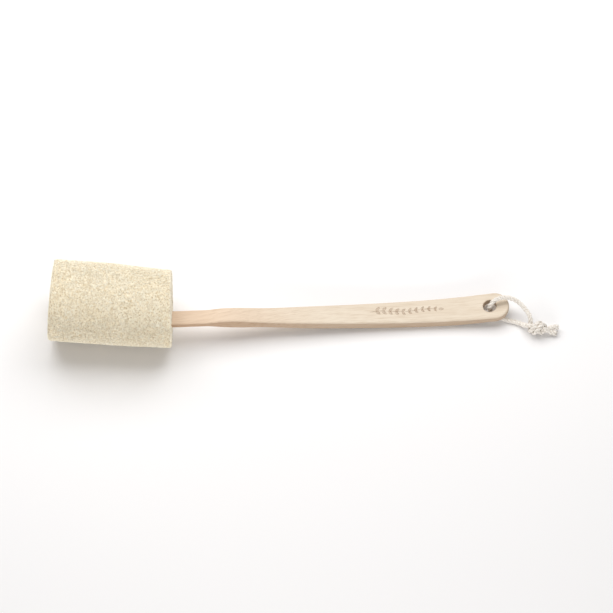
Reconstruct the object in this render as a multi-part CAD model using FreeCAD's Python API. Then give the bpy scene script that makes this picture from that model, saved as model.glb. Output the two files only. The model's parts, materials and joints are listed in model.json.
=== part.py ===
import FreeCAD, Part
import math
import os

# Loofah back scrubber: a bowed wooden handle whose neck is pushed into a section of
# natural loofah and pinned there with a dowel, and a loop of twisted cotton cord
# knotted through the hanging hole.
# Millimetres. The scrubber lies on a table at z = 0. +X runs along the handle from the
# loofah to the hanging hole, +Y to the back. The working origin is on the table, below
# the centre of the hanging hole; every solid is moved to the final origin at the end.

V = FreeCAD.Vector

# ---- Driving dimensions: handle ----
TIP_REACH = 18.2           # hole centre to the rounded tip
TIP_HALF_WIDTH = 14.2      # half the handle's width at the hole
NECK_START = -258.0        # shaft ends here and tapers down to the neck
NECK_TAPER = 13.0          # length of that taper
NECK_WIDTH = 15.4
NECK_THICKNESS = 6.5
NECK_TOP_DROP = 1.6        # how far the neck's top face lies below the shaft's
TENON_SLOPE = -0.05        # rise of the neck and tenon per millimetre of X
TENON_DEPTH = 76.0         # neck inside the loofah
EDGE_ROUNDING = 1.8        # all long edges of the handle

# Stations along the shaft: x, share of the widening from the neck to the tip,
# height of the underside, thickness
SHAFT_STATIONS = [
    (-258.0, 0.02, 15.6, 10.0),
    (-218.0, 0.10, 11.0, 10.0),
    (-180.0, 0.28, 6.8, 10.0),
    (-133.0, 0.47, 2.9, 10.0),
    (-95.0, 0.61, 0.8, 9.9),
    (-59.0, 0.75, 0.0, 9.6),
    (-21.0, 0.90, 1.9, 8.6),
]
HOLE_UNDERSIDE = 4.9       # height of the underside at the hole
HOLE_THICKNESS = 7.2
TIP_UNDERSIDE = 6.9
TIP_THICKNESS = 6.5
HOLE_DIAMETER = 12.7
HOLE_EASING = 0.8          # rounding of the hole's two rims
HOLE_TILT_DEG = -5.0       # the handle's faces rise towards the tip

BLANK_SPARE = 10.0         # the plan blank stands this far above and below the handle

# ---- Driving dimensions: loofah ----
LOOFAH_RIGHT_X = -301.9    # middle of the cut face on the handle's side
LOOFAH_LENGTH = 113.5      # along the axis
LOOFAH_FACE_YAW_DEG = -4.0  # that face is cut a little askew to the loofah's axis
LOOFAH_AXIS_Y = 4.9        # loofah axis from the handle's centreline, at the cut face
LOOFAH_YAW_DEG = -7.9      # the loofah sits skewed on the stick
LOOFAH_PITCH_DEG = 2.2     # its far end is raised a little
LOOFAH_LEFT_SEMI = (40.0, 35.6)    # half width, half height at the far end
LOOFAH_MID_SEMI = (40.0, 35.6)
LOOFAH_RIGHT_SEMI = (38.0, 34.0)   # at the handle's end
LOOFAH_EDGE = 2.5          # rounding of the outer rim of each cut face
SOCKET_CLEARANCE = 0.1     # around the tenon
SOCKET_DEPTH_SPARE = 1.0   # past the tenon's end
SOCKET_RUN_OUT = 12.0      # the socket's cutter runs on outside the loofah

# ---- Driving dimensions: dowel through the tenon ----
DOWEL_DIAMETER = 4.0
DOWEL_LENGTH = 46.0
DOWEL_SETBACK = 30.0       # dowel axis from the loofah's cut face
DOWEL_CLEARANCE = 0.05
DOWEL_END_GAP = 0.1        # at each end of the dowel, inside the loofah
DOWEL_CHAMFER = 0.6

# ---- Driving dimensions: hanging cord ----
CORD_DIAMETER = 4.2
KNOT_LENGTH = 18.0
KNOT_DIAMETER = 14.0
KNOT_SHOULDER = 0.62       # radius of its flat ends, as a share of its radius
KNOT_ROUNDING = 1.7        # of the rims of those ends
ARC_SHARE = 0.45           # of the shorter neighbouring run, taken by each bend
KNOT_YAW_DEG = -9.0        # direction of the knot's long axis
KNOT_CENTRE = (44.2, -23.4)

# Cord routes, chosen by hand: x, y, z above the table
UPPER_ROUTE = [
    (1.3, 0.0, 8.8),
    (2.0, 1.1, 14.4),
    (6.8, 4.0, 18.0),
    (17.3, 4.9, 18.4),
    (26.9, 2.4, 15.0),
    (34.6, -5.3, 9.8),
    (37.9, -14.2, 7.4),
    (38.8, -20.5, 7.6),
]
LOWER_ROUTE = [
    (1.3, 0.0, 8.8),
    (1.8, -0.6, 4.9),
    (4.0, -3.1, 2.5),
    (8.4, -7.6, 2.15),
    (16.4, -11.6, 2.15),
    (27.2, -14.6, 2.2),
    (33.6, -18.6, 3.2),
    (37.6, -22.2, 5.2),
]
UPPER_TAIL_ROUTE = [
    (48.6, -22.9, 7.4),
    (55.6, -22.3, 6.4),
    (63.4, -22.8, 4.2),
]
LOWER_TAIL_ROUTE = [
    (48.2, -26.2, 5.2),
    (54.6, -27.9, 3.9),
    (61.4, -30.6, 2.5),
]

SMALLEST_BEND = 1.0        # smallest bend radius of the cord, in diameters


def extruded_outline(edges, direction):
    """Solid swept from one closed outline of edges."""
    face = Part.Face(Part.Wire(edges))
    return face.extrude(direction)


def through(points, **end_ways):
    """One smooth edge through the points, with its end directions where they are given."""
    curve = Part.BSplineCurve()
    curve.interpolate(Points=points, **end_ways)
    return curve.toShape()


def polyline_edges(points):
    return [Part.LineSegment(a, b).toShape() for a, b in zip(points, points[1:])]


# ---- Handle ----

def neck_centre_z(x):
    """Height of the neck's centreline: the shaft's end, dropped, then a straight rise."""
    underside, thickness = SHAFT_STATIONS[0][2:4]
    top = underside + thickness - NECK_TOP_DROP
    start = NECK_START - NECK_TAPER
    centre_at_start = top - NECK_THICKNESS / 2 - TENON_SLOPE * NECK_TAPER
    return centre_at_start + TENON_SLOPE * (x - start)


def handle_stations():
    hole = (0.0, 1.0, HOLE_UNDERSIDE, HOLE_THICKNESS)
    tip = (TIP_REACH, 1.0, TIP_UNDERSIDE, TIP_THICKNESS)
    return SHAFT_STATIONS + [hole, tip]


def handle_side_blank():
    """Side view of the handle, swept across its width and run on past the tip."""
    stations = handle_stations()
    tenon_end = LOOFAH_RIGHT_X - TENON_DEPTH
    taper_end = NECK_START - NECK_TAPER
    half = NECK_THICKNESS / 2
    top_points = [V(taper_end, 0, neck_centre_z(taper_end) + half)]
    top_points += [V(x, 0, under + thick) for x, _, under, thick in stations]
    low_points = [V(taper_end, 0, neck_centre_z(taper_end) - half)]
    low_points += [V(x, 0, under) for x, _, under, _ in stations]
    end_top = V(tenon_end, 0, neck_centre_z(tenon_end) + half)
    end_low = V(tenon_end, 0, neck_centre_z(tenon_end) - half)
    neck_way = V(1, 0, TENON_SLOPE).normalize()
    top_way = (top_points[-1] - top_points[-2]).normalize()
    low_way = (low_points[-1] - low_points[-2]).normalize()
    top_points.append(top_points[-1] + top_way * TIP_HALF_WIDTH / 2)
    low_points.append(low_points[-1] + low_way * TIP_HALF_WIDTH / 2)
    edges = [
        Part.LineSegment(end_top, top_points[0]).toShape(),
        through(top_points, InitialTangent=neck_way, FinalTangent=top_way),
        Part.LineSegment(top_points[-1], low_points[-1]).toShape(),
        through(low_points, InitialTangent=neck_way, FinalTangent=low_way),
        Part.LineSegment(low_points[0], end_low).toShape(),
        Part.LineSegment(end_low, end_top).toShape(),
    ]
    blank = extruded_outline(edges, V(0, 4 * TIP_HALF_WIDTH, 0))
    blank.translate(V(0, -2 * TIP_HALF_WIDTH, 0))
    return blank


def handle_plan_blank():
    """Plan view of the handle, swept through its height."""
    tenon_end = LOOFAH_RIGHT_X - TENON_DEPTH
    taper_end = NECK_START - NECK_TAPER
    round_centre = TIP_REACH - TIP_HALF_WIDTH
    side = [(taper_end, NECK_WIDTH / 2)]
    widening = TIP_HALF_WIDTH - NECK_WIDTH / 2
    side += [(x, NECK_WIDTH / 2 + share * widening) for x, share, _, _ in SHAFT_STATIONS]
    side += [(round_centre, TIP_HALF_WIDTH)]
    back = [V(x, y, 0) for x, y in side]
    front = [V(x, -y, 0) for x, y in side]
    end_back = V(tenon_end, NECK_WIDTH / 2, 0)
    end_front = V(tenon_end, -NECK_WIDTH / 2, 0)
    edges = [
        Part.LineSegment(end_back, back[0]).toShape(),
        through(back),
        Part.Arc(back[-1], V(TIP_REACH, 0, 0), front[-1]).toShape(),
        through(front),
        Part.LineSegment(front[0], end_front).toShape(),
        Part.LineSegment(end_front, end_back).toShape(),
    ]
    highest = max(under + thick for _, _, under, thick in handle_stations())
    highest = max(highest, neck_centre_z(tenon_end) + NECK_THICKNESS)
    blank = extruded_outline(edges, V(0, 0, highest + 2 * BLANK_SPARE))
    blank.translate(V(0, 0, -BLANK_SPARE))
    return blank


def hole_frame():
    """Centre of the hanging hole and the direction of its axis."""
    centre = V(0, 0, HOLE_UNDERSIDE + HOLE_THICKNESS / 2)
    tilt = math.radians(HOLE_TILT_DEG)
    return centre, V(math.sin(tilt), 0, math.cos(tilt))


def hole_cutter():
    """Drill through the handle that opens out in a quarter round at both faces."""
    centre, axis = hole_frame()
    radius = HOLE_DIAMETER / 2
    wide = radius + HOLE_EASING
    face = HOLE_THICKNESS / 2
    inner = face - HOLE_EASING
    reach = 3 * HOLE_THICKNESS
    bulge = HOLE_EASING * math.sqrt(0.5)
    corners = [
        V(wide, 0, -face),
        V(wide, 0, -reach),
        V(0, 0, -reach),
        V(0, 0, reach),
        V(wide, 0, reach),
        V(wide, 0, face),
    ]
    outline = polyline_edges(corners)
    upper = (V(wide, 0, face), V(wide - bulge, 0, inner + bulge), V(radius, 0, inner))
    lower = (V(radius, 0, -inner), V(wide - bulge, 0, -inner - bulge), V(wide, 0, -face))
    outline.append(Part.Arc(*upper).toShape())
    outline.append(Part.LineSegment(upper[2], lower[0]).toShape())
    outline.append(Part.Arc(*lower).toShape())
    profile = Part.Face(Part.Wire(outline))
    cutter = profile.revolve(V(0, 0, 0), V(0, 0, 1), 360)
    cutter.Placement = FreeCAD.Placement(centre, FreeCAD.Rotation(V(0, 0, 1), axis))
    return cutter


def long_outline_edges(shape):
    """Edges where the side walls and the tip meet the top and bottom faces."""
    tenon_end = LOOFAH_RIGHT_X - TENON_DEPTH
    picked = []
    for edge in shape.Edges:
        box = edge.BoundBox
        upright = box.XLength < 0.01 and box.YLength < 0.01
        across_tenon_end = box.XMax < tenon_end + 0.1
        if not upright and not across_tenon_end:
            picked.append(edge)
    return picked


def make_handle():
    blank = handle_side_blank().common(handle_plan_blank())
    blank = blank.Solids[0]
    rounded = blank.makeFillet(EDGE_ROUNDING, long_outline_edges(blank))
    return rounded.cut(hole_cutter()).Solids[0]


# ---- Dowel ----

def dowel_axis_point():
    x = LOOFAH_RIGHT_X - DOWEL_SETBACK
    return V(x, 0, neck_centre_z(x))


def dowel_rod(diameter, length, chamfer=0.0):
    centre = dowel_axis_point()
    rod = Part.makeCylinder(diameter / 2, length, centre - V(0, length / 2, 0), V(0, 1, 0))
    if chamfer > 0:
        ends = [e for e in rod.Edges if abs(e.Length - math.pi * diameter) < 0.01]
        rod = rod.makeChamfer(chamfer, ends)
    return rod


# ---- Loofah ----

def loofah_placement():
    """Frame whose +X runs along the loofah, from its far cut face to the handle's end."""
    yaw = FreeCAD.Rotation(V(0, 0, 1), LOOFAH_YAW_DEG)
    pitch = FreeCAD.Rotation(V(0, 1, 0), LOOFAH_PITCH_DEG)
    rotation = yaw.multiply(pitch)
    base = V(LOOFAH_RIGHT_X, LOOFAH_AXIS_Y, LOOFAH_RIGHT_SEMI[1])
    return FreeCAD.Placement(base, rotation)


def oval(x, semi):
    """Closed oval outline across the loofah at x in its own frame."""
    half_width, half_height = semi
    wide = half_width >= half_height
    major, minor = max(semi), min(semi)
    long_axis = V(0, 1, 0) if wide else V(0, 0, 1)
    centre = V(x, 0, 0)
    short_axis = V(1, 0, 0).cross(long_axis)
    ellipse = Part.Ellipse(centre + long_axis * major, centre + short_axis * minor, centre)
    return Part.Wire([ellipse.toShape()])


def is_flat(face):
    return isinstance(face.Surface, Part.Plane)


def tenon_socket():
    """Room for the neck inside the loofah: its own section plus the clearance."""
    width = NECK_WIDTH + 2 * SOCKET_CLEARANCE
    height = NECK_THICKNESS + 2 * SOCKET_CLEARANCE
    inner = LOOFAH_RIGHT_X - TENON_DEPTH - SOCKET_DEPTH_SPARE
    outer = LOOFAH_RIGHT_X + SOCKET_RUN_OUT
    corners = [
        V(inner, -width / 2, neck_centre_z(inner) - height / 2),
        V(outer, -width / 2, neck_centre_z(outer) - height / 2),
        V(outer, -width / 2, neck_centre_z(outer) + height / 2),
        V(inner, -width / 2, neck_centre_z(inner) + height / 2),
    ]
    block = extruded_outline(polyline_edges(corners + corners[:1]), V(0, width, 0))
    along = [e for e in block.Edges if e.BoundBox.XLength > TENON_DEPTH]
    return block.makeFillet(EDGE_ROUNDING, along)


def cut_face_trimmer():
    """Block whose near side is the slightly skewed cut face on the handle's side."""
    size = 4 * LOOFAH_LEFT_SEMI[0]
    block = Part.makeBox(LOOFAH_LENGTH, size, size, V(0, -size / 2, -size / 2))
    way = FreeCAD.Rotation(V(0, 0, 1), LOOFAH_FACE_YAW_DEG)
    block.Placement = FreeCAD.Placement(loofah_placement().Base, way).multiply(block.Placement)
    return block


def make_loofah():
    spare = LOOFAH_LEFT_SEMI[0] / 4
    sections = [
        oval(-LOOFAH_LENGTH, LOOFAH_LEFT_SEMI),
        oval(-LOOFAH_LENGTH / 2, LOOFAH_MID_SEMI),
        oval(spare, LOOFAH_RIGHT_SEMI),
    ]
    body = Part.makeLoft(sections, True, False)
    body.Placement = loofah_placement()
    body = body.cut(cut_face_trimmer()).Solids[0]
    rims = [e for face in body.Faces if is_flat(face) for e in face.Edges]
    body = body.makeFillet(LOOFAH_EDGE, rims)
    body.translate(V(0, 0, -body.optimalBoundingBox(False).ZMin))
    body = body.cut(tenon_socket())
    bore = dowel_rod(DOWEL_DIAMETER + 2 * DOWEL_CLEARANCE, DOWEL_LENGTH + 2 * DOWEL_END_GAP)
    return body.cut(bore).Solids[0]


# ---- Cord ----

def tangent_arc_path(route):
    """Straight runs joined by tangent arcs, each as large as its two runs allow."""
    points = [V(*p) for p in route]
    edges = []
    radii = []
    start = points[0]
    for before, corner, after in zip(points, points[1:], points[2:]):
        incoming = (corner - before).normalize()
        outgoing = (after - corner).normalize()
        half_turn = incoming.getAngle(outgoing) / 2
        setback = ARC_SHARE * min((corner - before).Length, (after - corner).Length)
        radius = setback / math.tan(half_turn)
        arc_start = corner - incoming * setback
        arc_end = corner + outgoing * setback
        centre_way = (outgoing - incoming).normalize()
        centre = corner + centre_way * (radius / math.cos(half_turn))
        middle = centre - centre_way * radius
        edges.append(Part.LineSegment(start, arc_start).toShape())
        edges.append(Part.Arc(arc_start, middle, arc_end).toShape())
        radii.append(radius)
        start = arc_end
    edges.append(Part.LineSegment(start, points[-1]).toShape())
    return Part.Wire(edges), radii


def cord_tube(name, route):
    path, radii = tangent_arc_path(route)
    start = V(*route[0])
    way = (V(*route[1]) - start).normalize()
    section = Part.Wire([Part.Circle(start, way, CORD_DIAMETER / 2).toShape()])
    tube = path.makePipeShell([section], True, False)
    expected = math.pi * (CORD_DIAMETER / 2) ** 2 * path.Length
    runs = [(V(*b) - V(*a)).Length for a, b in zip(route, route[1:])]
    print(name, "length %.1f" % path.Length, "volume ratio %.4f" % (tube.Volume / expected))
    print("  runs", ["%.1f" % r for r in runs])
    print("  radii", ["%.1f" % r for r in radii])
    if min(radii) < SMALLEST_BEND * CORD_DIAMETER:
        print("  a bend is tighter than allowed")
    return tube


def make_knot():
    """Barrel with domed ends, the outer shape of an overhand knot in the doubled cord."""
    half = KNOT_LENGTH / 2
    radius = KNOT_DIAMETER / 2
    shoulder = radius * KNOT_SHOULDER
    outline = [
        Part.LineSegment(V(-half, 0, 0), V(-half, 0, shoulder)).toShape(),
        Part.Arc(V(-half, 0, shoulder), V(0, 0, radius), V(half, 0, shoulder)).toShape(),
        Part.LineSegment(V(half, 0, shoulder), V(half, 0, 0)).toShape(),
        Part.LineSegment(V(half, 0, 0), V(-half, 0, 0)).toShape(),
    ]
    profile = Part.Face(Part.Wire(outline))
    barrel = profile.revolve(V(0, 0, 0), V(1, 0, 0), 360)
    rims = [e for e in barrel.Edges if abs(e.Length - 2 * math.pi * shoulder) < 0.01]
    barrel = barrel.makeFillet(KNOT_ROUNDING, rims)
    barrel.rotate(V(0, 0, 0), V(0, 0, 1), KNOT_YAW_DEG)
    barrel.translate(V(KNOT_CENTRE[0], KNOT_CENTRE[1], radius))
    return barrel


def main():
    loofah = make_loofah()
    handle = make_handle()
    drill = dowel_rod(DOWEL_DIAMETER + 2 * DOWEL_CLEARANCE, DOWEL_LENGTH)
    parts = {
        "handle": handle.cut(drill).Solids[0],
        "loofah": loofah,
        "tenon_dowel": dowel_rod(DOWEL_DIAMETER, DOWEL_LENGTH, DOWEL_CHAMFER),
        "cord_upper_run": cord_tube("cord_upper_run", UPPER_ROUTE),
        "cord_lower_run": cord_tube("cord_lower_run", LOWER_ROUTE),
        "cord_knot": make_knot(),
        "cord_upper_tail": cord_tube("cord_upper_tail", UPPER_TAIL_ROUTE),
        "cord_lower_tail": cord_tube("cord_lower_tail", LOWER_TAIL_ROUTE),
    }

    # Origin: bottom centre of the box around the brush itself, without the cord.
    box = FreeCAD.BoundBox()
    for name in ("handle", "loofah", "tenon_dowel"):
        box.add(parts[name].optimalBoundingBox(False))
    shift = V(-box.Center.x, -box.Center.y, -box.ZMin)
    centre, axis = hole_frame()
    print("shift", tuple(round(v, 4) for v in shift))
    print("hole centre", tuple(round(v, 4) for v in centre + shift), "axis", tuple(axis))
    face = loofah_placement()
    print("loofah axis", tuple(face.Rotation.multVec(V(1, 0, 0))))

    os.makedirs("parts", exist_ok=True)
    for name, shape in parts.items():
        shape.translate(shift)
        low_corner = (shape.BoundBox.XMin, shape.BoundBox.YMin, shape.BoundBox.ZMin)
        high_corner = (shape.BoundBox.XMax, shape.BoundBox.YMax, shape.BoundBox.ZMax)
        print(name, "valid", shape.isValid(), "solids", len(shape.Solids), "volume %.0f" % shape.Volume)
        print("  box", [round(v, 1) for v in low_corner + high_corner])
        shape.exportStep("parts/%s.step" % name)


main()
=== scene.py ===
"""Loofah back scrubber: natural loofah section, bowed wooden handle, knotted cotton loop.

Everything is in metres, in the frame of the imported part: +X along the handle from the
loofah to the hanging hole, +Y to the back, +Z up, the table at z = 0.
"""
import json
import math

import bmesh
import bpy
import numpy as np
from mathutils import Matrix, Vector, noise
from mathutils.bvhtree import BVHTree


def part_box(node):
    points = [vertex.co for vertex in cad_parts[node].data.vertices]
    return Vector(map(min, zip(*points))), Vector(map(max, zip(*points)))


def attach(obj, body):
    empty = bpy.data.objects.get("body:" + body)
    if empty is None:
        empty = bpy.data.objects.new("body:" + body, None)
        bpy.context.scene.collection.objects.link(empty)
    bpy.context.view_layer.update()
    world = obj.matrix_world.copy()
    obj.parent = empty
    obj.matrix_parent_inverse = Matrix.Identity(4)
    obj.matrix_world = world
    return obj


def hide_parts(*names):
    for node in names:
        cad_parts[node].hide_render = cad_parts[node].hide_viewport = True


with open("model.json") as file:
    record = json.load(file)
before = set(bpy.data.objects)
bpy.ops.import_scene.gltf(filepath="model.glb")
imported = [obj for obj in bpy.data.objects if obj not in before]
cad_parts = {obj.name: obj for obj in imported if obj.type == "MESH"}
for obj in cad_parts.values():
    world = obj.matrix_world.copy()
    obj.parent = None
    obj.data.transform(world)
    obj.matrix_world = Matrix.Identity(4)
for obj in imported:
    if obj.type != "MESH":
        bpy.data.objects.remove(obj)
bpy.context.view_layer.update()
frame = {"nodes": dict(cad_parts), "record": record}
MM = 0.001

JOINT = frame["record"]["behaviour"]["joints"][0]
HOLE = Vector(JOINT["pos_m"])                 # centre of the hanging hole
HOLE_AXIS = Vector(JOINT["axis"]).normalized()


# ------------------------------------------------------------------ shared by the materials

def new_material(name, roughness):
    """A new material, with its nodes, its links and its shader."""
    material = bpy.data.materials.new(name)
    material.use_nodes = True
    nodes = material.node_tree.nodes
    shader = nodes["Principled BSDF"]
    shader.inputs["Roughness"].default_value = roughness
    return material, nodes, material.node_tree.links, shader


def plain_material(name, colour, roughness):
    material, _, _, shader = new_material(name, roughness)
    shader.inputs["Base Color"].default_value = (*colour, 1)
    return material


def object_place(nodes):
    return nodes.new("ShaderNodeTexCoord").outputs["Object"]


def add_bump(nodes, links, shader, height, strength, distance):
    bump = nodes.new("ShaderNodeBump")
    bump.inputs["Strength"].default_value = strength
    bump.inputs["Distance"].default_value = distance
    links.new(height, bump.inputs["Height"])
    links.new(bump.outputs["Normal"], shader.inputs["Normal"])


def faded(nodes, links, value, start, end):
    """0 where the value is at start, easing to 1 where it is at end."""
    node = nodes.new("ShaderNodeMapRange")
    node.interpolation_type = "SMOOTHSTEP"
    node.inputs["From Min"].default_value = start
    node.inputs["From Max"].default_value = end
    links.new(value, node.inputs["Value"])
    return node.outputs[0]


def stretched(nodes, links, vector, scale):
    node = nodes.new("ShaderNodeMapping")
    node.inputs["Scale"].default_value = scale
    links.new(vector, node.inputs["Vector"])
    return node.outputs[0]


def maths(nodes, links, operation, first, second=None):
    """The operation on an output, alone or with a number or another output."""
    node = nodes.new("ShaderNodeMath")
    node.operation = operation
    links.new(first, node.inputs[0])
    if isinstance(second, float):
        node.inputs[1].default_value = second
    elif second is not None:
        links.new(second, node.inputs[1])
    return node.outputs[0]


def ramp(nodes, stops):
    node = nodes.new("ShaderNodeValToRGB")
    while len(node.color_ramp.elements) < len(stops):
        node.color_ramp.elements.new(0.5)
    for element, (place, colour) in zip(node.color_ramp.elements, stops):
        element.position = place
        element.color = (*colour, 1)
    return node


def noise_node(nodes, links, vector, scale, detail=4.0, roughness=0.55):
    node = nodes.new("ShaderNodeTexNoise")
    node.inputs["Scale"].default_value = scale
    node.inputs["Detail"].default_value = detail
    node.inputs["Roughness"].default_value = roughness
    links.new(vector, node.inputs["Vector"])
    return node.outputs["Fac"]


def mixed(nodes, links, factor, first, second, blend="MIX"):
    node = nodes.new("ShaderNodeMix")
    node.data_type = "RGBA"
    node.blend_type = blend
    for socket, value in ((node.inputs[0], factor), (node.inputs[6], first), (node.inputs[7], second)):
        if isinstance(value, (int, float)):
            socket.default_value = value
        elif isinstance(value, tuple):
            socket.default_value = (*value, 1)
        else:
            links.new(value, socket)
    return node.outputs[2]


# ------------------------------------------------------------------ camera and light

def look_frame(azimuth, elevation):
    """Right, up and towards-camera directions of a view from the given angles."""
    a, e = math.radians(azimuth), math.radians(elevation)
    right = Vector((math.cos(a), math.sin(a), 0))
    level = Vector((-math.sin(a), math.cos(a), 0))
    up = level * math.sin(e) + Vector((0, 0, math.cos(e)))
    return right, up, right.cross(up)


CAMERA_AZIMUTH = -4.0
CAMERA_ELEVATION = 60.0
CAMERA_DISTANCE = 3.6
VIEW_WIDTH = 0.5824                           # what the frame takes in at the object
HOLE_FROM_CENTRE = (0.1740, 0.0006)           # the hole from the middle of the frame
HALF_WOOD = 3.6 * MM                          # half the wood's thickness at the hole

WORLD_STRENGTH = 0.29
SOFTBOX_POWER = 13.8
SOFTBOX_PLACE = Vector((-0.05, 0.50, 0.86))   # from the middle of the view
SOFTBOX_SIZE = (1.6, 0.9)
FRONT_POWER = 11.0
FRONT_PLACE = Vector((0, -1.4, 0.40))
FRONT_SIZE = (1.6, 0.5)
TABLE_SIZE = 12
TABLE_DROP = 0.05 * MM                        # so the table's skin never meets the part's
TABLE_COLOUR = (0.91, 0.895, 0.89)


def make_camera():
    """The camera, and the point in the middle of its view."""
    right, up, back = look_frame(CAMERA_AZIMUTH, CAMERA_ELEVATION)
    hole_top = HOLE + HOLE_AXIS * HALF_WOOD
    aim = hole_top - right * HOLE_FROM_CENTRE[0] - up * HOLE_FROM_CENTRE[1]
    data = bpy.data.cameras.new("photo_camera")
    data.sensor_width = 36.0
    data.lens = data.sensor_width * CAMERA_DISTANCE / VIEW_WIDTH
    data.clip_end = 20.0
    camera = bpy.data.objects.new("photo_camera", data)
    bpy.context.scene.collection.objects.link(camera)
    turn = Matrix((right, up, back)).transposed().to_4x4()
    camera.matrix_world = Matrix.Translation(aim + back * CAMERA_DISTANCE) @ turn
    bpy.context.scene.camera = camera
    return aim


def area_light(name, place, target, size, power):
    data = bpy.data.lights.new(name, "AREA")
    data.shape = "RECTANGLE"
    data.size, data.size_y = size
    data.energy = power
    light = bpy.data.objects.new(name, data)
    light.location = place
    light.rotation_euler = (target - place).to_track_quat("-Z", "Y").to_euler()
    bpy.context.scene.collection.objects.link(light)


def make_stage(aim):
    """Pale table, white surroundings, a big soft lamp above and behind, a card in front."""
    bpy.ops.mesh.primitive_plane_add(size=TABLE_SIZE, location=(aim.x, aim.y, -TABLE_DROP))
    table = bpy.context.object
    table.name = "table"
    table.data.materials.append(plain_material("table_white", TABLE_COLOUR, 0.9))
    world = bpy.data.worlds.new("studio")
    world.use_nodes = True
    world.node_tree.nodes["Background"].inputs["Color"].default_value = (1, 1, 1, 1)
    world.node_tree.nodes["Background"].inputs["Strength"].default_value = WORLD_STRENGTH
    bpy.context.scene.world = world
    area_light("overhead_softbox", aim + SOFTBOX_PLACE, aim, SOFTBOX_SIZE, SOFTBOX_POWER)
    area_light("front_card", aim + FRONT_PLACE, aim, FRONT_SIZE, FRONT_POWER)
    view = bpy.context.scene.view_settings
    view.view_transform = "Standard"
    view.look = "None"
    view.exposure = 0.0


# ------------------------------------------------------------------ cord

CORD_DIAMETER = 4.2 * MM
ROPE_PITCH = 13.0 * MM                        # one full turn of the three strands

# The CAD cord's route points outside the knot, each moved by 0.2 to 3.1 mm to lie as the real
# cord does: x and y from the hole's centre, z above the table, in metres.
UPPER_ROUTE = [
    (-0.0004, -0.0004, 0.0088),
    (-0.0006, -0.0006, 0.0146),
    (0.0062, 0.0038, 0.0182),
    (0.0165, 0.0050, 0.0186),
    (0.0262, 0.0022, 0.0152),
    (0.0338, -0.0060, 0.0112),
    (0.0376, -0.0135, 0.0098),
]
LOWER_ROUTE = [
    (-0.0004, -0.0004, 0.0088),
    (0.0002, -0.0010, 0.0050),
    (0.0036, -0.0033, 0.0027),
    (0.0084, -0.0076, 0.0024),
    (0.0164, -0.0116, 0.0024),
    (0.0258, -0.0146, 0.0025),
    (0.0312, -0.0184, 0.0038),
]
UPPER_TAIL = [(0.0565, -0.0232, 0.0062), (0.0625, -0.0236, 0.0048)]
LOWER_TAIL = [(0.0545, -0.0276, 0.0036), (0.0606, -0.0290, 0.0031)]
KNOT_CENTRE = (0.0430, -0.0230, 0.0076)
KNOT_YAW = -16.0                              # degrees
UPPER_KEPT = (-7.0, 10.5)                     # how much of each tied cord is kept, along
LOWER_KEPT = (-10.5, 10.5)                    # the knot, in millimetres
KNOT_LEAST_HEIGHT = CORD_DIAMETER / 2 + 0.3 * MM

# Tying the knot, in millimetres and steps.
THIN_CORD = 0.7
FULL_CORD = 3.9
BEAD_SPACING = 1.5
KNOT_LENGTH = 88.0                            # of each cord in the loose knot
SIDE_BY_SIDE = 0.52                           # of a cord's diameter, from their middle
KNOT_PULL = 0.25                              # on each end in one step
SWELL_STEPS = 260
SETTLE_STEPS = 140
ROUNDS = 8                                    # of smoothing and pushing in each step
SMOOTHING = 0.10                              # share of the way to the neighbours' middle
NEIGHBOURS = 1.6                              # diameters within which a cord ignores itself
PUSH_SHARE = 0.5
SLOWING = 0.6                                 # share of its speed that a bead keeps
CORD_SEED = 11


def from_hole(x, y, z):
    return Vector((HOLE.x + x, HOLE.y + y, z))


def smoothstep(x):
    x = np.clip(x, 0, 1)
    return x * x * (3 - 2 * x)


def long_trefoil(t):
    """Centreline of a loose overhand knot, its ends leaving along X."""
    return np.stack([t**5 / 5 - 2 * t, t**3 - 3 * t, t**4 - 4 * t**2], axis=1)


def resample(points, spacing):
    """The same line with points at even distances."""
    lengths = np.linalg.norm(np.diff(points, axis=0), axis=1)
    along = np.concatenate([[0], np.cumsum(lengths)])
    count = int(round(along[-1] / spacing)) + 1
    wanted = np.linspace(0, along[-1], count)
    return np.stack([np.interp(wanted, along, points[:, k]) for k in range(3)], axis=1)


def carried_sides(tangents, first):
    """A side direction carried along a path without twisting."""
    sides = []
    side = np.asarray(first, float)
    for way in tangents:
        side = side - way * np.dot(side, way)
        side = side / np.linalg.norm(side)
        sides.append(side)
    return np.array(sides)


def unit_tangents(points):
    tangents = np.gradient(points, axis=0)
    return tangents / np.linalg.norm(tangents, axis=1)[:, None]


def loose_knot():
    """Two thin cords side by side along a loose overhand knot."""
    centre = long_trefoil(np.linspace(-2.15, 2.15, 600))
    centre *= KNOT_LENGTH / np.linalg.norm(np.diff(centre, axis=0), axis=1).sum()
    tangents = unit_tangents(centre)
    sides = carried_sides(tangents, np.cross(tangents[0], [0.0, 0.2, 1.0]))
    first = resample(centre + sides * THIN_CORD * SIDE_BY_SIDE, BEAD_SPACING)
    second = resample(centre - sides * THIN_CORD * SIDE_BY_SIDE, BEAD_SPACING)
    return first, second


def pull_ends(p, n, size):
    """Draw the four cord ends outward along X, each pair level and one cord apart."""
    for pair, sign in (((0, n), -1), ((n - 1, 2 * n - 1), 1)):
        for k, bead in enumerate(pair):
            p[bead, 0] += sign * KNOT_PULL
            p[bead, 1] += np.clip(sign * (0.5 - k) * size - p[bead, 1], -KNOT_PULL, KNOT_PULL)
            p[bead, 2] += np.clip(-p[bead, 2], -KNOT_PULL, KNOT_PULL)


def keep_spacing(p, group):
    """Put each bead of the group at its distance from the next one."""
    gap = p[group + 1] - p[group]
    reach = np.linalg.norm(gap, axis=1)
    move = gap * ((reach - BEAD_SPACING) / reach / 2)[:, None]
    p[group] += move
    p[group + 1] -= move


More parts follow.
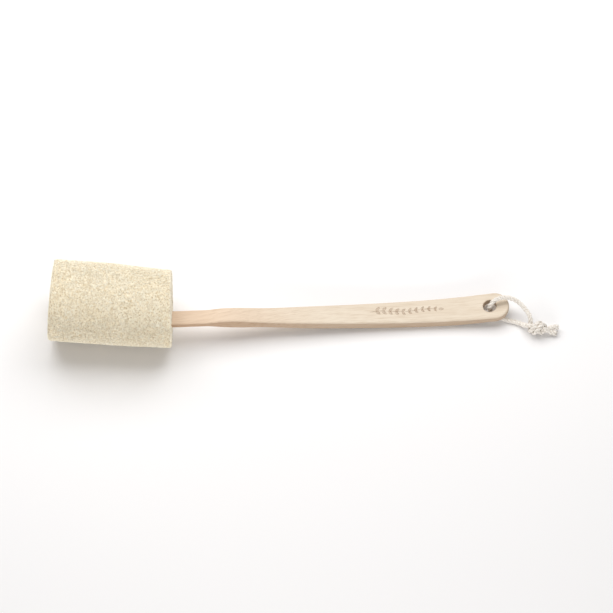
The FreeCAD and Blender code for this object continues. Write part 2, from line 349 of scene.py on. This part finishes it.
def push_apart(p, a, b, size):
    """Part the pairs of beads that are closer than a cord's diameter."""
    gap = p[b] - p[a]
    squared = np.einsum("ij,ij->i", gap, gap)
    hit = squared < size * size
    gap, reach = gap[hit], np.sqrt(squared[hit])
    push = gap * ((size - reach) / reach / 2 * PUSH_SHARE)[:, None]
    np.add.at(p, a[hit], -push)
    np.add.at(p, b[hit], push)


def tied_knot():
    """Two cords side by side in an overhand knot, in millimetres, the knot along X.

    Each cord is a row of beads. The knot starts loose with thin cords, which then
    swell to their real diameter while each keeps its length and neither may pass
    through anything, and that draws the knot tight.
    """
    first, second = loose_knot()
    n = min(len(first), len(second))
    p = np.concatenate([first[:n], second[:n]])
    cord_of = np.repeat([0, 1], n)
    index = np.tile(np.arange(n), 2)
    low, high = np.triu_indices(2 * n, 1)
    along = np.abs(index[low] - index[high]) * BEAD_SPACING
    apart = np.where(cord_of[low] == cord_of[high], along, np.inf)
    links = np.concatenate([np.arange(n - 1), n + np.arange(n - 1)])
    middles = np.concatenate([np.arange(1, n - 1), n + np.arange(1, n - 1)])
    velocity = np.zeros_like(p)
    for step in range(SWELL_STEPS + SETTLE_STEPS):
        size = THIN_CORD + (FULL_CORD - THIN_CORD) * min(1.0, step / SWELL_STEPS)
        live = apart > NEIGHBOURS * size
        a, b = low[live], high[live]
        before = p.copy()
        p += velocity
        pull_ends(p, n, size)
        for _ in range(ROUNDS):
            p[middles] += ((p[middles - 1] + p[middles + 1]) / 2 - p[middles]) * SMOOTHING
            keep_spacing(p, links[0::2])
            keep_spacing(p, links[1::2])
            push_apart(p, a, b, size)
        velocity = (p - before) * SLOWING
    return p[:n], p[n:]


def placed_knot(chain):
    """A chain of the knot in the part's frame, as control points in metres."""
    turn = np.array(Matrix.Rotation(math.radians(KNOT_YAW), 3, "Z"))
    knot = (chain * MM) @ turn.T + np.array(from_hole(*KNOT_CENTRE))
    knot[:, 2] = np.maximum(knot[:, 2], KNOT_LEAST_HEIGHT)
    return knot


def nurbs_line(points):
    """Points read from a smooth NURBS line with the given control points."""
    data = bpy.data.curves.new("route", "CURVE")
    data.dimensions = "3D"
    data.resolution_u = 6
    spline = data.splines.new("NURBS")
    spline.points.add(len(points) - 1)
    for point, place in zip(spline.points, points):
        point.co = (*place, 1)
    spline.order_u = 3
    spline.use_endpoint_u = True
    holder = bpy.data.objects.new("route", data)
    mesh = bpy.data.meshes.new_from_object(holder)
    line = np.array([v.co for v in mesh.vertices])
    bpy.data.objects.remove(holder)
    bpy.data.curves.remove(data)
    bpy.data.meshes.remove(mesh)
    return line


def tube_faces(rings, around, offset):
    """Quads of a tube whose rings of vertices follow one another, and its end caps."""
    faces = []
    for r in range(rings - 1):
        for k in range(around):
            a = offset + r * around + k
            b = offset + r * around + (k + 1) % around
            faces.append((a, b, b + around, a + around))
    faces.append(tuple(offset + k for k in reversed(range(around))))
    faces.append(tuple(offset + (rings - 1) * around + k for k in range(around)))
    return faces


def strand_points(line, offset, pitch, phase):
    """A strand lying helically round a line."""
    tangents = unit_tangents(line)
    sides = carried_sides(tangents, np.cross(tangents[0], [0.1, 0.2, 1.0]))
    other = np.cross(tangents, sides)
    along = np.concatenate([[0], np.cumsum(np.linalg.norm(np.diff(line, axis=0), axis=1))])
    turn = 2 * math.pi * along / pitch + phase
    ring = sides * np.cos(turn)[:, None] + other * np.sin(turn)[:, None]
    return line + ring * offset[:, None]


def ribbed_tube(line, radius, around, swell, ribs=0, rib_depth=0.0, rib_pitch=1.0):
    """Vertices of a tube round a line, with fine yarns winding along its surface."""
    tangents = unit_tangents(line)
    sides = carried_sides(tangents, np.cross(tangents[0], [0.2, 0.1, 1.0]))
    other = np.cross(tangents, sides)
    along = np.concatenate([[0], np.cumsum(np.linalg.norm(np.diff(line, axis=0), axis=1))])
    angle = np.linspace(0, 2 * math.pi, around, endpoint=False)
    theta = angle[None, :] + 0 * along[:, None]
    wave = np.abs(np.cos(ribs / 2 * (theta + 2 * math.pi * along[:, None] / rib_pitch)))
    reach = radius * (1 - rib_depth + rib_depth * wave) * swell[:, None]
    ring = sides[:, None, :] * np.cos(theta)[..., None] + other[:, None, :] * np.sin(theta)[..., None]
    return (line[:, None, :] + ring * reach[..., None]).reshape(-1, 3)


def fill_quads(mesh, vertices, quads):
    """Fill an empty mesh from arrays of points and four-sided faces."""
    mesh.vertices.add(len(vertices))
    mesh.vertices.foreach_set("co", np.ascontiguousarray(vertices, np.float32).ravel())
    mesh.loops.add(quads.size)
    mesh.loops.foreach_set("vertex_index", np.ascontiguousarray(quads, np.int32).ravel())
    mesh.polygons.add(len(quads))
    mesh.polygons.foreach_set("loop_start", np.arange(0, quads.size, 4, dtype=np.int32))


def mesh_object(name, vertices, faces, material):
    mesh = bpy.data.meshes.new(name)
    if isinstance(faces, np.ndarray):
        fill_quads(mesh, vertices, faces)
    else:
        mesh.from_pydata([tuple(v) for v in vertices], [], faces)
    mesh.update(calc_edges=True)
    mesh.materials.append(material)
    mesh.shade_smooth()
    piece = bpy.data.objects.new(name, mesh)
    bpy.context.scene.collection.objects.link(piece)
    return piece


STRAND_RADIUS = 1.14 * MM
STRAND_OFFSET = 1.18 * MM
STRAND_STEP = 0.33 * MM
STRAND_SIDES = 20
YARNS = 8                                     # seen round each strand
YARN_DEPTH = 0.15                             # of the strand's radius
YARN_PITCH = -7.5 * MM                        # laid against the strands
LOOSENED_END = 9 * MM                         # where the strands start to come apart
FRAY_COUNT = 70
FRAY_LENGTH = 3.2 * MM
FRAY_SPREAD = 1.75 * MM                       # radius of the bunch where it leaves the cord
FRAY_ROOT = 1.6 * MM                          # how far inside the cord's end it starts
FRAY_LEAST_HEIGHT = 0.25 * MM
FIBRE_POINTS = 7
FIBRE_SIDES = 5


def rope_mesh(line):
    """Three twisted strands along the line, each of fine yarns, coming apart at the cut end."""
    line = resample(line, STRAND_STEP)
    to_end = (len(line) - 1 - np.arange(len(line))) * STRAND_STEP
    loosened = smoothstep(1 - to_end / LOOSENED_END)
    offset = STRAND_OFFSET * (1 + 0.30 * loosened)
    swell = 1 + 0.12 * loosened
    vertices, faces = [], []
    for k in range(3):
        strand = strand_points(line, offset, ROPE_PITCH, k * 2 * math.pi / 3)
        ring = ribbed_tube(strand, STRAND_RADIUS, STRAND_SIDES, swell, YARNS, YARN_DEPTH, YARN_PITCH)
        faces += tube_faces(len(line), STRAND_SIDES, len(vertices))
        vertices += list(ring)
    return vertices, faces


def frayed_end(rng, tip, way, vertices, faces):
    """Loose cut fibres fanning out of a cord's end."""
    way = np.array(way) / np.linalg.norm(way)
    side = np.cross(way, [0, 0, 1.0])
    side /= np.linalg.norm(side)
    lift = np.cross(side, way)
    for _ in range(FRAY_COUNT):
        angle, share = rng.uniform(0, 2 * math.pi), math.sqrt(rng.uniform(0, 1))
        out = side * math.cos(angle) + lift * math.sin(angle)
        start = tip + out * share * FRAY_SPREAD - way * FRAY_ROOT
        reach = FRAY_LENGTH * rng.uniform(0.45, 1.0)
        spread = out * share * rng.uniform(0.1, 0.75) + rng.normal(0, 0.12, 3)
        t = np.linspace(0, 1, FIBRE_POINTS)[:, None]
        line = start + way * reach * t + spread * reach * t**2 * 0.8
        line[:, 2] = np.maximum(line[:, 2], FRAY_LEAST_HEIGHT)
        radius = rng.uniform(0.10, 0.17) * MM
        ring = ribbed_tube(line, radius, FIBRE_SIDES, np.linspace(1, 0.55, FIBRE_POINTS))
        faces += tube_faces(FIBRE_POINTS, FIBRE_SIDES, len(vertices))
        vertices += list(ring)


def cord_line(route, chain, kept, tail):
    """Smooth line of one cord: its route, its share of the tied knot and its tail."""
    inner = np.flatnonzero((chain[:, 0] > kept[0]) & (chain[:, 0] < kept[1]))
    knot = placed_knot(chain[inner[0]:inner[-1] + 1])
    control = [from_hole(*p) for p in route]
    control += [Vector(p) for p in knot[::2]]
    control += [from_hole(*p) for p in tail]
    return nurbs_line(control)


def make_cord(name, line, rng, material, nodes):
    """A cord along the line, frayed at its cut end, in place of the given CAD nodes."""
    vertices, faces = rope_mesh(line)
    frayed_end(rng, line[-1], line[-1] - line[-8], vertices, faces)
    piece = mesh_object(name, vertices, faces, material)
    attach(piece, "hang_loop")
    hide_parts(*nodes)


def make_cords(material):
    """The loop's two cords, from the middle of the hole through the knot to their cut ends."""
    first, second = tied_knot()
    middle = (first.mean(axis=0) + second.mean(axis=0)) / 2
    middle[1] = middle[2] = 0
    rng = np.random.default_rng(CORD_SEED)
    upper = cord_line(UPPER_ROUTE, second - middle, UPPER_KEPT, LOWER_TAIL)
    lower = cord_line(LOWER_ROUTE, first - middle, LOWER_KEPT, UPPER_TAIL)
    make_cord("cord_upper", upper, rng, material,
              ("cord_upper_run", "cord_knot", "cord_lower_tail"))
    make_cord("cord_lower", lower, rng, material, ("cord_lower_run", "cord_upper_tail"))


def cotton_material():
    """Off-white cotton with fine darker specks."""
    material, nodes, links, shader = new_material("twisted_cotton", 0.9)
    shader.inputs["Sheen Weight"].default_value = 0.3
    shader.inputs["Sheen Roughness"].default_value = 0.6
    speck = noise_node(nodes, links, object_place(nodes), 900.0, 6.0, 0.5)
    tint = ramp(nodes, ((0.30, (0.64, 0.56, 0.47)), (0.62, (0.93, 0.89, 0.83))))
    links.new(speck, tint.inputs["Fac"])
    links.new(tint.outputs["Color"], shader.inputs["Base Color"])
    add_bump(nodes, links, shader, speck, 0.35, 0.2 * MM)
    return material


# ------------------------------------------------------------------ loofah

END_FACE = frame["record"]["mounts"][0]       # the far cut face
FAR_CENTRE = np.array(END_FACE["pos_m"])
ALONG = -np.array(END_FACE["axis"])           # from the far face towards the handle
ALONG /= np.linalg.norm(ALONG)
ACROSS = np.cross([0.0, 0.0, 1.0], ALONG)
ACROSS /= np.linalg.norm(ACROSS)
UPWARD = np.cross(ALONG, ACROSS)
LOOFAH_LENGTH = 113.5 * MM
NEAR_YAW = math.radians(-4)                   # the way that the handle's cut face looks
NEAR_WAY = np.array([math.cos(NEAR_YAW), math.sin(NEAR_YAW), 0])
FAR_SEMI = np.array([40.0, 35.6]) * MM        # half width and half height of the oval
NEAR_SEMI = np.array([38.0, 34.0]) * MM
TAPER_START, TAPER_RUN = 0.42, 0.62           # of its length, from the far face
RIM = 2.2 * MM                                # rounding of the cut edges
INSET = 0.35 * MM                             # the spongy body lies this far inside
CHANNEL_ANGLES = (66.0, 186.0, 306.0)         # three seed channels round a core
CHANNEL_REACH = 17.5 * MM
FAR_CHANNEL = np.array([9.0, 7.6]) * MM       # half sizes, outward and around
NEAR_CHANNEL = np.array([8.0, 6.4]) * MM
FAR_DEPTH = 24 * MM
NEAR_DEPTH = 17 * MM
BODY_AROUND = 350                             # points round the body
SIDE_STEP = 0.85 * MM                         # between its rows along the side
CAP_STEP = 1.0 * MM                           # and on the cut faces
PIT_DEPTH = 1.3 * MM
FIBRE_STEP = 0.95 * MM                        # between a side fibre's points
SIDE_FIBRE_POINTS = 22
FACE_FIBRE_STEP = 0.8 * MM
FACE_FIBRE_POINTS = 10
FACE_FIBRE_RADII = (0.16, 0.30)               # least and most, in millimetres


def noise_at(points, cell, seed=0.0):
    """Smooth noise of about -1 to 1 at each point, with features of the given size."""
    shift = Vector((seed, 2.3 * seed, 5.1 * seed))
    flat = points.reshape(-1, 3) / cell
    values = [noise.noise(Vector(p) + shift) for p in flat]
    return np.array(values).reshape(points.shape[:-1])


def placed(local):
    """Loofah coordinates (along, across, up) to the part's frame."""
    return FAR_CENTRE + local[..., :1] * ALONG + local[..., 1:2] * ACROSS + local[..., 2:] * UPWARD


def semi_axes(s):
    """Half width and half height at a distance s from the far face."""
    share = smoothstep((s / LOOFAH_LENGTH - TAPER_START) / TAPER_RUN)[..., None]
    return FAR_SEMI + (NEAR_SEMI - FAR_SEMI) * share


def near_end(y, z):
    """Where the handle's cut face lies, which is a little askew to the axis."""
    lean = np.dot(NEAR_WAY, ACROSS) * y + np.dot(NEAR_WAY, UPWARD) * z
    return LOOFAH_LENGTH - lean / np.dot(NEAR_WAY, ALONG)


def hull_shrink(s, theta):
    """How much the gourd's soft lengthwise ribs and hollows sink below the full oval."""
    ribs = 0.5 + 0.5 * np.cos(9 * theta + 0.9 * np.sin(2 * theta) + 4.0 * s)
    hollows = 0.5 + 0.5 * np.sin(70 * s + 2 * theta) * np.cos(3 * theta - 30 * s)
    return (0.45 * ribs + 0.35 * hollows) * MM


def side_point(s, theta, lift):
    """Point of the loofah's side, lift metres proud of its spongy body."""
    semi = semi_axes(s)
    into_rim = np.maximum(RIM - s, 0) + np.maximum(s - (LOOFAH_LENGTH - RIM), 0)
    into_rim = np.minimum(into_rim, RIM)
    rounding = RIM - np.sqrt(np.maximum(RIM**2 - into_rim**2, 0))
    out = -INSET - hull_shrink(s, theta) - rounding + lift
    y = (semi[..., 0] + out) * np.cos(theta)
    z = (semi[..., 1] + out) * np.sin(theta)
    return np.stack([s * near_end(y, z) / LOOFAH_LENGTH, y, z], axis=-1)


def channel_depth(y, z, far):
    """Depth of the seed channels at a place on a cut face."""
    half, depth = (FAR_CHANNEL, FAR_DEPTH) if far else (NEAR_CHANNEL, NEAR_DEPTH)
    total = np.zeros_like(y)
    for degrees in CHANNEL_ANGLES:
        a = math.radians(degrees)
        outward = y * math.cos(a) + z * math.sin(a) - CHANNEL_REACH
        around = -y * math.sin(a) + z * math.cos(a)
        reach = np.sqrt((outward / half[0])**2 + (around / half[1])**2)
        total = np.maximum(total, depth * smoothstep((1.1 - reach) / 0.26))
    return total


def face_point(y, z, far, lift):
    """Point of a cut face, lift metres proud of it, following the seed channels in."""
    sink = channel_depth(y, z, far) + INSET - lift
    s = sink if far else near_end(y, z) - sink
    return np.stack([s, y, z], axis=-1)


def loofah_profile(theta):
    """Rows of the body's surface from the middle of the far face to that of the near one."""
    rows = []
    caps = int(FAR_SEMI[0] / CAP_STEP)
    shares = np.linspace(0.004, 1, caps)
    edge = side_point(np.full_like(theta, INSET), theta, 0)
    for share in shares[:-1]:
        rows.append(face_point(edge[:, 1] * share, edge[:, 2] * share, True, 0))
    sides = int(LOOFAH_LENGTH / SIDE_STEP)
    for s in np.linspace(INSET, LOOFAH_LENGTH - INSET, sides):
        rows.append(side_point(np.full_like(theta, s), theta, 0))
    edge = side_point(np.full_like(theta, LOOFAH_LENGTH - INSET), theta, 0)
    for share in shares[-2::-1]:
        rows.append(face_point(edge[:, 1] * share, edge[:, 2] * share, False, 0))
    return np.array(rows)


def grid_mesh(name, rows, material):
    """A closed skin whose rows of points go round, its two ends shut."""
    count, around = rows.shape[:2]
    r, k = np.meshgrid(np.arange(count - 1), np.arange(around), indexing="ij")
    nxt = (k + 1) % around
    here, there = r * around, (r + 1) * around
    quads = np.stack([here + k, there + k, there + nxt, here + nxt], -1)
    faces = quads.reshape(-1, 4).tolist()
    faces.append(list(range(around)))
    faces.append([(count - 1) * around + i for i in reversed(range(around))])
    return mesh_object(name, rows.reshape(-1, 3), faces, material)


def outward_of(rows):
    """Unit directions across the skin's surface."""
    down = np.gradient(rows, axis=0)
    ahead = np.roll(rows, -1, axis=1) - np.roll(rows, 1, axis=1)
    normal = np.cross(ahead, down)
    return normal / np.maximum(np.linalg.norm(normal, axis=-1, keepdims=True), 1e-12)


def make_loofah_body(material):
    """The spongy body, pitted all over, with the seed channels open at both cut faces."""
    theta = np.linspace(0, 2 * math.pi, BODY_AROUND, endpoint=False)
    rows = loofah_profile(theta)
    normal = outward_of(rows)
    rough = 0.5 * noise_at(rows, 1.6 * MM, 1) + 0.35 * noise_at(rows, 0.8 * MM, 2)
    pits = np.minimum(0, rough + 0.15)
    rows = placed(rows + normal * (pits * PIT_DEPTH)[..., None])
    body = grid_mesh("loofah_body", rows, material)
    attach(body, "brush")
    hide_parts("loofah")


def fibre_mesh(name, paths, normals, radii, material):
    """Thin fibres along many paths at once; each tapers into the body at its ends."""
    around = 4
    count, steps = paths.shape[:2]
    ways = np.gradient(paths, axis=1)
    ways /= np.maximum(np.linalg.norm(ways, axis=-1, keepdims=True), 1e-12)
    side = np.cross(ways, normals)
    side /= np.maximum(np.linalg.norm(side, axis=-1, keepdims=True), 1e-12)
    lift = np.cross(side, ways)
    ends = np.sin(np.linspace(0.08, math.pi - 0.08, steps)) ** 0.35
    reach = radii[:, None, None] * ends[None, :, None]
    rings = []
    for angle in np.linspace(0, 2 * math.pi, around, endpoint=False):
        rings.append(paths + side * math.cos(angle) * reach + lift * math.sin(angle) * reach)
    vertices = np.stack(rings, axis=2)
    f, r, k = np.meshgrid(np.arange(count), np.arange(steps - 1), np.arange(around), indexing="ij")
    base = f * steps * around
    here, there = base + r * around, base + (r + 1) * around
    nxt = (k + 1) % around
    quads = np.stack([here + k, there + k, there + nxt, here + nxt], -1).reshape(-1, 4)
    starts = np.arange(count) * steps * around
    first = starts[:, None] + np.arange(around)[::-1]
    last = starts[:, None] + (steps - 1) * around + np.arange(around)
    faces = np.concatenate([quads, first, last])
    return mesh_object(name, vertices.reshape(-1, 3), faces, material)


def side_fibres(rng, count, family):
    """Random paths over the loofah's side, weaving in and out of its surface."""
    around, slant = family                    # share of a right angle to the axis, and spread
    s = rng.uniform(0, LOOFAH_LENGTH, count)
    theta = rng.uniform(0, 2 * math.pi, count)
    heading = around * math.pi / 2 + rng.normal(0, slant, count)
    heading += math.pi * rng.integers(0, 2, count)
    bend = rng.normal(0, 0.05, count)
    phase = rng.uniform(0, 2 * math.pi, count)
    weave = rng.uniform(0.7, 1.6, count)
    points = []
    for i in range(SIDE_FIBRE_POINTS):
        x = i * FIBRE_STEP / MM
        dive = 0.55 * (2 * i / (SIDE_FIBRE_POINTS - 1) - 1) ** 6
        lift = (0.12 + 0.26 * np.sin(weave * x + phase) - dive) * MM
        points.append(side_point(s, theta, lift))
        s = s + np.cos(heading) * FIBRE_STEP
        theta = theta + np.sin(heading) * FIBRE_STEP / NEAR_SEMI[0]
        bend = 0.85 * bend + rng.normal(0, 0.11, count)
        heading = heading + bend
        s = np.clip(s, 0.3 * MM, LOOFAH_LENGTH - 0.3 * MM)
    path = np.stack(points, axis=1)
    normal = path * np.array([0.0, 1.0, 1.0])
    normal /= np.linalg.norm(normal, axis=-1, keepdims=True)
    return path, normal


def add_net(name, paths, normals, radii, material):
    """Fibres of the loofah as one piece, from paths in the loofah's own coordinates."""
    turned = normals[..., :1] * ALONG + normals[..., 1:2] * ACROSS + normals[..., 2:] * UPWARD
    net = fibre_mesh(name, placed(paths), turned, radii, material)
    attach(net, "brush")


def make_side_net(name, seed, count, family, thick, material):
    """One family of fibres over the side, thick giving their radii in millimetres."""
    rng = np.random.default_rng(seed)
    paths, normals = side_fibres(rng, count, family)
    radii = rng.uniform(*thick, count) * MM
    add_net(name, paths, normals, radii, material)


def make_face_net(name, seed, count, far, material):
    """Tangled short fibres of a cut face, running down into the seed channels."""
    rng = np.random.default_rng(seed)
    angle = rng.uniform(0, 2 * math.pi, count)
    share = np.sqrt(rng.uniform(0, 0.93, count))
    semi = (FAR_SEMI if far else NEAR_SEMI) - 1.2 * MM
    y, z = share * np.cos(angle) * semi[0], share * np.sin(angle) * semi[1]
    heading = rng.uniform(0, 2 * math.pi, count)
    phase = rng.uniform(0, 2 * math.pi, count)
    points = []
    for i in range(FACE_FIBRE_POINTS):
        dive = 0.6 * (2 * i / (FACE_FIBRE_POINTS - 1) - 1) ** 4
        lift = (0.10 + 0.28 * np.sin(0.9 * i + phase) - dive) * MM
        points.append(face_point(y, z, far, lift))
        y, z = y + np.cos(heading) * FACE_FIBRE_STEP, z + np.sin(heading) * FACE_FIBRE_STEP
        heading = heading + rng.normal(0, 0.35, count)
        reach = np.sqrt((y / semi[0])**2 + (z / semi[1])**2)
        y, z = y / np.maximum(reach, 1), z / np.maximum(reach, 1)
    path = np.stack(points, axis=1)
    normal = np.zeros_like(path)
    normal[..., 0] = -1 if far else 1
    radii = rng.uniform(*FACE_FIBRE_RADII, count) * MM
    add_net(name, path, normal, radii, material)


def pore_shade_share(nodes, links, place):
    """Near 1 in scattered small pores, where shade is painted into the colour, drawn out a little
    across the loofah.
    """
    cells = nodes.new("ShaderNodeTexVoronoi")
    cells.inputs["Scale"].default_value = 520.0
    cells.inputs["Randomness"].default_value = 1.0
    links.new(stretched(nodes, links, place, (1.5, 1.0, 1.0)), cells.inputs["Vector"])
    return faded(nodes, links, cells.outputs["Distance"], 0.38, 0.12)


def fibre_material(name, pale, mid, dark, pore_shade):
    """Dry plant fibre: blotchy cream with finer brown specks, and painted shade in small pores."""
    material, nodes, links, shader = new_material(name, 0.8)
    place = object_place(nodes)
    broad = noise_node(nodes, links, place, 38.0, 3.0)
    fine = noise_node(nodes, links, place, 520.0, 5.0, 0.6)
    body = ramp(nodes, ((0.34, mid), (0.66, pale)))
    links.new(broad, body.inputs["Fac"])
    speck = ramp(nodes, ((0.36, (0, 0, 0)), (0.60, (1, 1, 1))))
    links.new(fine, speck.inputs["Fac"])
    colour = mixed(nodes, links, speck.outputs["Color"], dark, body.outputs["Color"])
    # painted shade: the colour darkens in the pores, where shade falls
    pore_shaded = mixed(nodes, links, pore_shade_share(nodes, links, place), colour, pore_shade)
    links.new(pore_shaded, shader.inputs["Base Color"])
    add_bump(nodes, links, shader, fine, 0.5, 0.3 * MM)
    return material


def make_loofah():
    sponge = fibre_material("loofah_sponge", pale=(0.93, 0.85, 0.67), mid=(0.88, 0.78, 0.58),
                            dark=(0.60, 0.48, 0.30), pore_shade=(0.38, 0.27, 0.14))
    strand = fibre_material("loofah_strand", pale=(0.99, 0.95, 0.82), mid=(0.98, 0.92, 0.76),
                            dark=(0.92, 0.83, 0.65), pore_shade=(0.60, 0.48, 0.30))
    make_loofah_body(sponge)
    make_side_net("loofah_cross_fibres_a", 21, 1100, (1, 0.40), (0.13, 0.23), strand)
    make_side_net("loofah_cross_fibres_b", 22, 1100, (1, 0.60), (0.12, 0.20), strand)
    make_side_net("loofah_slant_fibres_a", 23, 1100, (0.5, 1.2), (0.12, 0.20), strand)
    make_side_net("loofah_slant_fibres_b", 24, 1100, (0.5, 1.2), (0.11, 0.18), strand)
    make_side_net("loofah_long_fibres", 25, 900, (0, 0.35), (0.13, 0.24), strand)
    make_face_net("loofah_far_end_fibres", 26, 2200, True, strand)
    make_face_net("loofah_near_end_fibres", 27, 2000, False, strand)


# ------------------------------------------------------------------ wood

PAINTED_SIDE_SHADE = (0.68, 0.60, 0.54)               # painted shade of the wood's upright sides, against its faces
NECK_FADE = (0.06, -0.11)                     # along the part, from plain wood to the neck's
GRAIN_SLANT = 0.022                           # how far the neck's grain lies to the back


def side_shade_share(nodes, links):
    """1 on the upright sides of the wood, where shade is painted, 0 on its flat faces."""
    shape = nodes.new("ShaderNodeNewGeometry")
    parts = nodes.new("ShaderNodeSeparateXYZ")
    links.new(shape.outputs["Normal"], parts.inputs[0])
    level = maths(nodes, links, "ABSOLUTE", parts.outputs["Z"])
    return faded(nodes, links, level, 0.85, 0.35)


def grain_place(nodes, links, parts, neck):
    """Where a point lies in the grain, which runs along the handle and slants at the neck."""
    slant = maths(nodes, links, "MULTIPLY", neck, GRAIN_SLANT)
    joined = nodes.new("ShaderNodeCombineXYZ")
    links.new(parts.outputs["X"], joined.inputs[0])
    links.new(maths(nodes, links, "ADD", parts.outputs["Y"], slant), joined.inputs[1])
    links.new(parts.outputs["Z"], joined.inputs[2])
    return stretched(nodes, links, joined.outputs[0], (0.045, 1.0, 0.7))


def wood_material(name, pale, mid, dark, pinker):
    """Pale close-grained wood: fine lengthwise grain, slanting and pinker by the loofah, with painted
    shade on its upright sides.
    """
    material, nodes, links, shader = new_material(name, 0.55)
    parts = nodes.new("ShaderNodeSeparateXYZ")
    links.new(object_place(nodes), parts.inputs[0])
    neck = faded(nodes, links, parts.outputs["X"], *NECK_FADE)
    grain = grain_place(nodes, links, parts, neck)
    broad = noise_node(nodes, links, grain, 170.0, 3.0)
    fine = noise_node(nodes, links, grain, 1100.0, 4.0, 0.6)
    tone = ramp(nodes, ((0.30, mid), (0.70, pale)))
    links.new(broad, tone.inputs["Fac"])
    streak = ramp(nodes, ((0.28, (0, 0, 0)), (0.55, (1, 1, 1))))
    links.new(fine, streak.inputs["Fac"])
    grained = mixed(nodes, links, streak.outputs["Color"], dark, tone.outputs["Color"])
    blush = mixed(nodes, links, 1.0, grained, pinker, "MULTIPLY")
    face = mixed(nodes, links, neck, grained, blush)
    # painted shade: the upright sides darkened against the flat faces
    edge = mixed(nodes, links, 1.0, face, PAINTED_SIDE_SHADE, "MULTIPLY")
    links.new(mixed(nodes, links, side_shade_share(nodes, links), face, edge), shader.inputs["Base Color"])
    add_bump(nodes, links, shader, fine, 0.12, 0.2 * MM)
    return material


def dress(node, material):
    """Give a CAD node its material."""
    mesh = frame["nodes"][node].data
    mesh.materials.clear()
    mesh.materials.append(material)


def make_wood():
    handle_wood = wood_material("pale_wood", pale=(0.75, 0.65, 0.52), mid=(0.70, 0.59, 0.46),
                                dark=(0.61, 0.49, 0.36), pinker=(1.00, 0.88, 0.80))
    dowel_wood = wood_material("dowel_wood", pale=(0.74, 0.58, 0.41), mid=(0.66, 0.50, 0.34),
                               dark=(0.52, 0.37, 0.23), pinker=(1, 1, 1))
    dress("handle", handle_wood)
    dress("tenon_dowel", dowel_wood)


# ------------------------------------------------------------------ burnt sprig

SPRIG_START, SPRIG_END = -0.115, -0.049       # along the handle, from the hole
SPRIG_BACK = 0.0013                           # to the back of the handle's middle
SPRIG_LINE = 0.27 * MM                        # radius of a burnt line
SPRIG_SINK = 0.11 * MM                        # its middle below the wood's surface
STEM_WAVE = 0.9 * MM
LEAF_ANGLE = 0.75                             # radians from the stem
BUD_LENGTH, BUD_WIDTH = 5.5 * MM, 2.2 * MM


def handle_tree():
    """The handle's surface, to cast rays at."""
    shape = bmesh.new()
    shape.from_mesh(frame["nodes"]["handle"].data)
    tree = BVHTree.FromBMesh(shape)
    shape.free()
    return tree


def handle_middle(tree, x):
    """Middle of the handle's width at x, from rays at both its edges over its whole height."""
    low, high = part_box("handle")
    hits = []
    for y, way in ((low.y - 0.01, 1), (high.y + 0.01, -1)):
        for z in np.linspace(0.004, 0.024, 21):
            hit = tree.ray_cast(Vector((x, y, z)), Vector((0, way, 0)))[0]
            if hit:
                hits.append(hit.y)
    return (min(hits) + max(hits)) / 2


def leaf_lines(base, angle, length, width):
    """Outline and midrib of a small leaf, as plan points."""
    t = np.linspace(0, 1, 9)
    half = width / 2 * np.sin(math.pi * t**0.8)
    way = np.array([math.cos(angle), math.sin(angle)])
    side = np.array([-way[1], way[0]])
    upper = base + np.outer(t * length, way) + np.outer(half, side)
    lower = base + np.outer(t * length, way) - np.outer(half, side)
    rib = base + np.outer(t * length * 0.86, way)
    return [upper, lower, rib]


def sprig_lines():
    """Plan lines of a leafy sprig: a wavy stem, paired leaves and a bud at its end."""
    t = np.linspace(0, 1, 33)
    span = SPRIG_END - SPRIG_START
    stem = np.stack([SPRIG_START + span * t, STEM_WAVE * np.sin(2 * math.pi * 1.5 * t)], axis=1)
    lines = [stem[k:k + 9] for k in range(0, 32, 8)]
    for k in range(3, 31, 3):
        base, way = stem[k], stem[k + 1] - stem[k - 1]
        angle = math.atan2(way[1], way[0])
        size = (6.6 - 0.09 * k) * MM
        lines += leaf_lines(base, angle + LEAF_ANGLE, size, size * 0.36)
        lines += leaf_lines(base, angle - LEAF_ANGLE, size * 0.94, size * 0.36)
    lines += leaf_lines(stem[-1], 0.0, BUD_LENGTH, BUD_WIDTH)
    return np.array(lines)


def make_sprig(material):
    """The sprig's lines laid on the handle's top face and sunk into it."""
    tree = handle_tree()
    plan = sprig_lines()
    points = np.zeros((*plan.shape[:2], 3))
    for i, line in enumerate(plan):
        for j, (x, y) in enumerate(line):
            world_x = HOLE.x + x
            world_y = handle_middle(tree, round(world_x, 4)) + SPRIG_BACK + y
            hit = tree.ray_cast(Vector((world_x, world_y, 0.1)), Vector((0, 0, -1)))[0]
            points[i, j] = (world_x, world_y, hit.z - SPRIG_SINK)
    normals = np.zeros_like(points)
    normals[..., 2] = 1
    radii = np.full(len(points), SPRIG_LINE)
    sprig = fibre_mesh("burnt_sprig", points, normals, radii, material)
    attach(sprig, "brush")
    return sprig


def burnt_material():
    """Scorched wood, unevenly brown."""
    material, nodes, links, shader = new_material("burnt_wood", 0.9)
    char = noise_node(nodes, links, object_place(nodes), 900.0, 4.0)
    tone = ramp(nodes, ((0.35, (0.16, 0.075, 0.030)), (0.65, (0.34, 0.19, 0.095))))
    links.new(char, tone.inputs["Fac"])
    links.new(tone.outputs["Color"], shader.inputs["Base Color"])
    return material


# ------------------------------------------------------------------ the whole scene

make_stage(make_camera())
make_cords(cotton_material())
make_loofah()
make_wood()
make_sprig(burnt_material())
